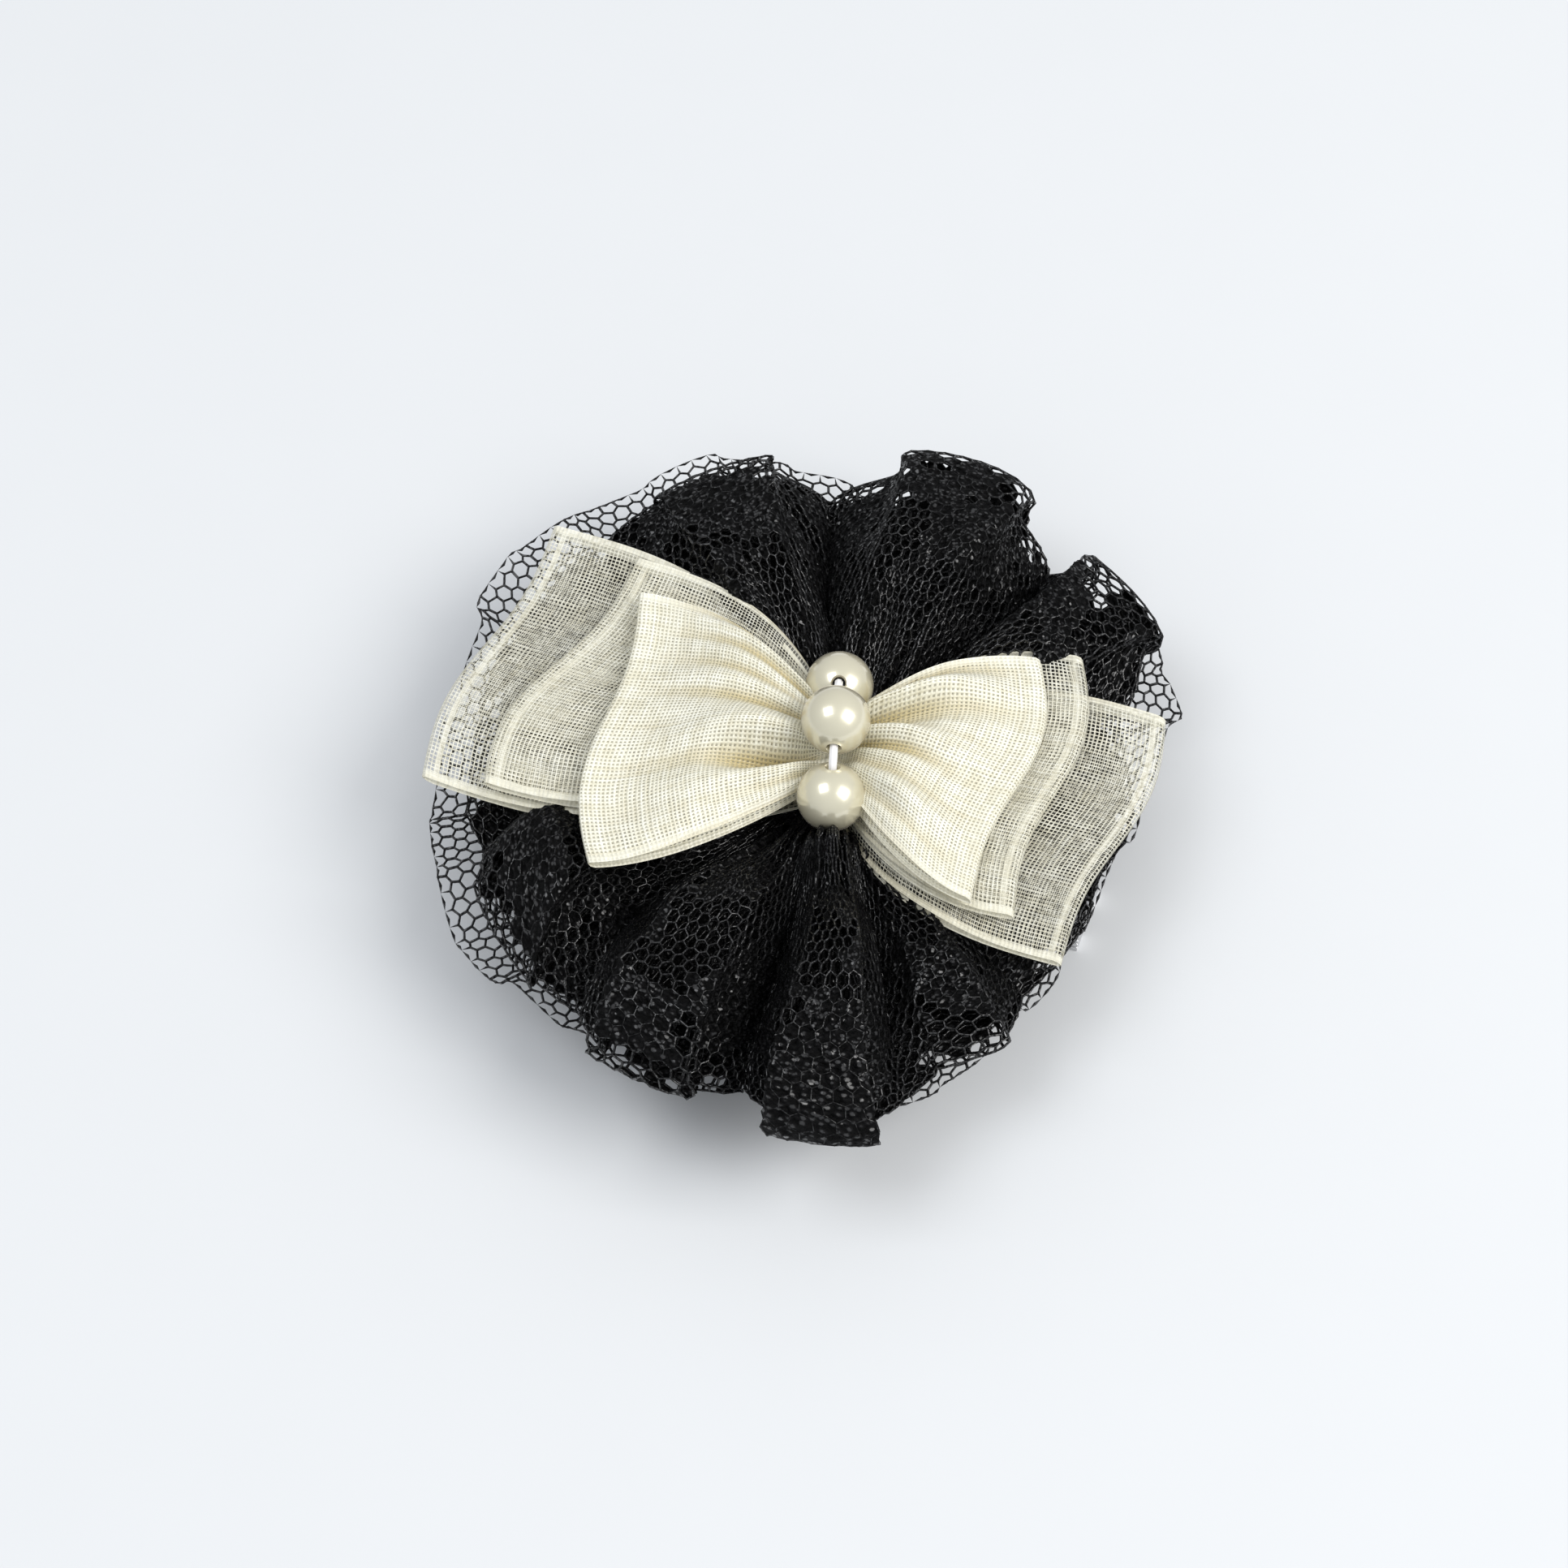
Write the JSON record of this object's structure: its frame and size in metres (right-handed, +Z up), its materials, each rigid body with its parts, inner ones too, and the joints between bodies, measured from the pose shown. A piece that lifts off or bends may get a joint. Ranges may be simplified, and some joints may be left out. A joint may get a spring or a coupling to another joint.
{
  "type": "flower hair clip",
  "caption": "Gathered black lace rosette with a cream organza bow and threaded pearls on a spring barrette with a squeeze clasp.",
  "frame": {"origin": "on the surface the clip lies on, under the middle of the rosette, clip closed and flower side up", "axes": "+X along the barrette and the bow, towards the clasp; +Y across the rosette, away from the viewer; +Z up, out of the flower"},
  "size_m": [0.087, 0.094, 0.0313],
  "materials": {
    "steel": "nickel-plated pressed strip, satin",
    "spring_steel": "bright spring steel",
    "felt": "pressed felt",
    "black_thread": "twisted sewing thread",
    "lace": "knitted hexagon net, slightly glossy yarn",
    "organza": "sheer woven ribbon with dense selvedges",
    "pearl": "ivory pearlescent coat",
    "nylon": "clear nylon cord, slightly milky"
  },
  "bodies": {
    "clip_body": {"base_plate": "steel", "hinge_pin": "steel", "clasp_bracket": "steel", "clasp_rivet": "steel", "felt_backing": "felt", "plate_stitch_1": "black_thread", "plate_stitch_2": "black_thread", "plate_stitch_3": "black_thread", "plate_stitch_4": "black_thread", "lace_under_ruffle": "lace", "gathering_thread": "black_thread", "lace_top_ruffle": "lace", "bow_long_ribbon": "organza", "bow_middle_ribbon": "organza", "bow_top_ribbon": "organza", "pearl_string": "nylon", "string_knot_front": "nylon", "string_knot_rear": "nylon"},
    "arm": {"swing_arm": "steel"},
    "spring": {"tension_spring": "spring_steel"},
    "front_tab": {"clasp_tab_front": "spring_steel"},
    "rear_tab": {"clasp_tab_rear": "spring_steel"},
    "front_pearl": {"pearl_front": "pearl"},
    "middle_pearl": {"pearl_middle": "pearl"},
    "rear_pearl": {"pearl_rear": "pearl"}
  },
  "joints": [
    {"name": "arm_hinge", "type": "hinge", "parent": "clip_body", "child": "arm", "pos_m": [-0.0333, 0, 0.0019], "axis": [0, 1, 0], "range_deg": [0, 80]},
    {"name": "clasp_squeeze_rear", "type": "hinge", "parent": "clip_body", "child": "rear_tab", "pos_m": [0.0346, 0.0023, 0.0058], "axis": [-1, 0, 0], "range_deg": [0, 9.5], "stiffness_Nm_per_rad": 0.05},
    {"name": "clasp_squeeze_front", "type": "hinge", "parent": "clip_body", "child": "front_tab", "pos_m": [0.0346, -0.0023, 0.0058], "axis": [1, 0, 0], "range_deg": [0, 9.5], "stiffness_Nm_per_rad": 0.05},
    {"name": "spring_press", "type": "slide", "parent": "clip_body", "child": "spring", "axis": [0, 0, 1], "range_m": [0, 0.0014], "stiffness_N_per_m": 1500},
    {"name": "pearl_front_spin", "type": "hinge", "parent": "clip_body", "child": "front_pearl", "pos_m": [0.00856, -0.00742, 0.023], "axis": [-0.1336, 0.4818, 0.866], "continuous": true},
    {"name": "pearl_middle_spin", "type": "hinge", "parent": "clip_body", "child": "middle_pearl", "pos_m": [0.0065, 0, 0.0273], "axis": [-0.2672, 0.9636, 0], "continuous": true},
    {"name": "pearl_rear_spin", "type": "hinge", "parent": "clip_body", "child": "rear_pearl", "pos_m": [0.00444, 0.00742, 0.023], "axis": [-0.1336, 0.4818, -0.866], "continuous": true}
  ],
  "couplings": [
    {"joint": "clasp_squeeze_front", "follows": "clasp_squeeze_rear", "ratio": 1}
  ]
}
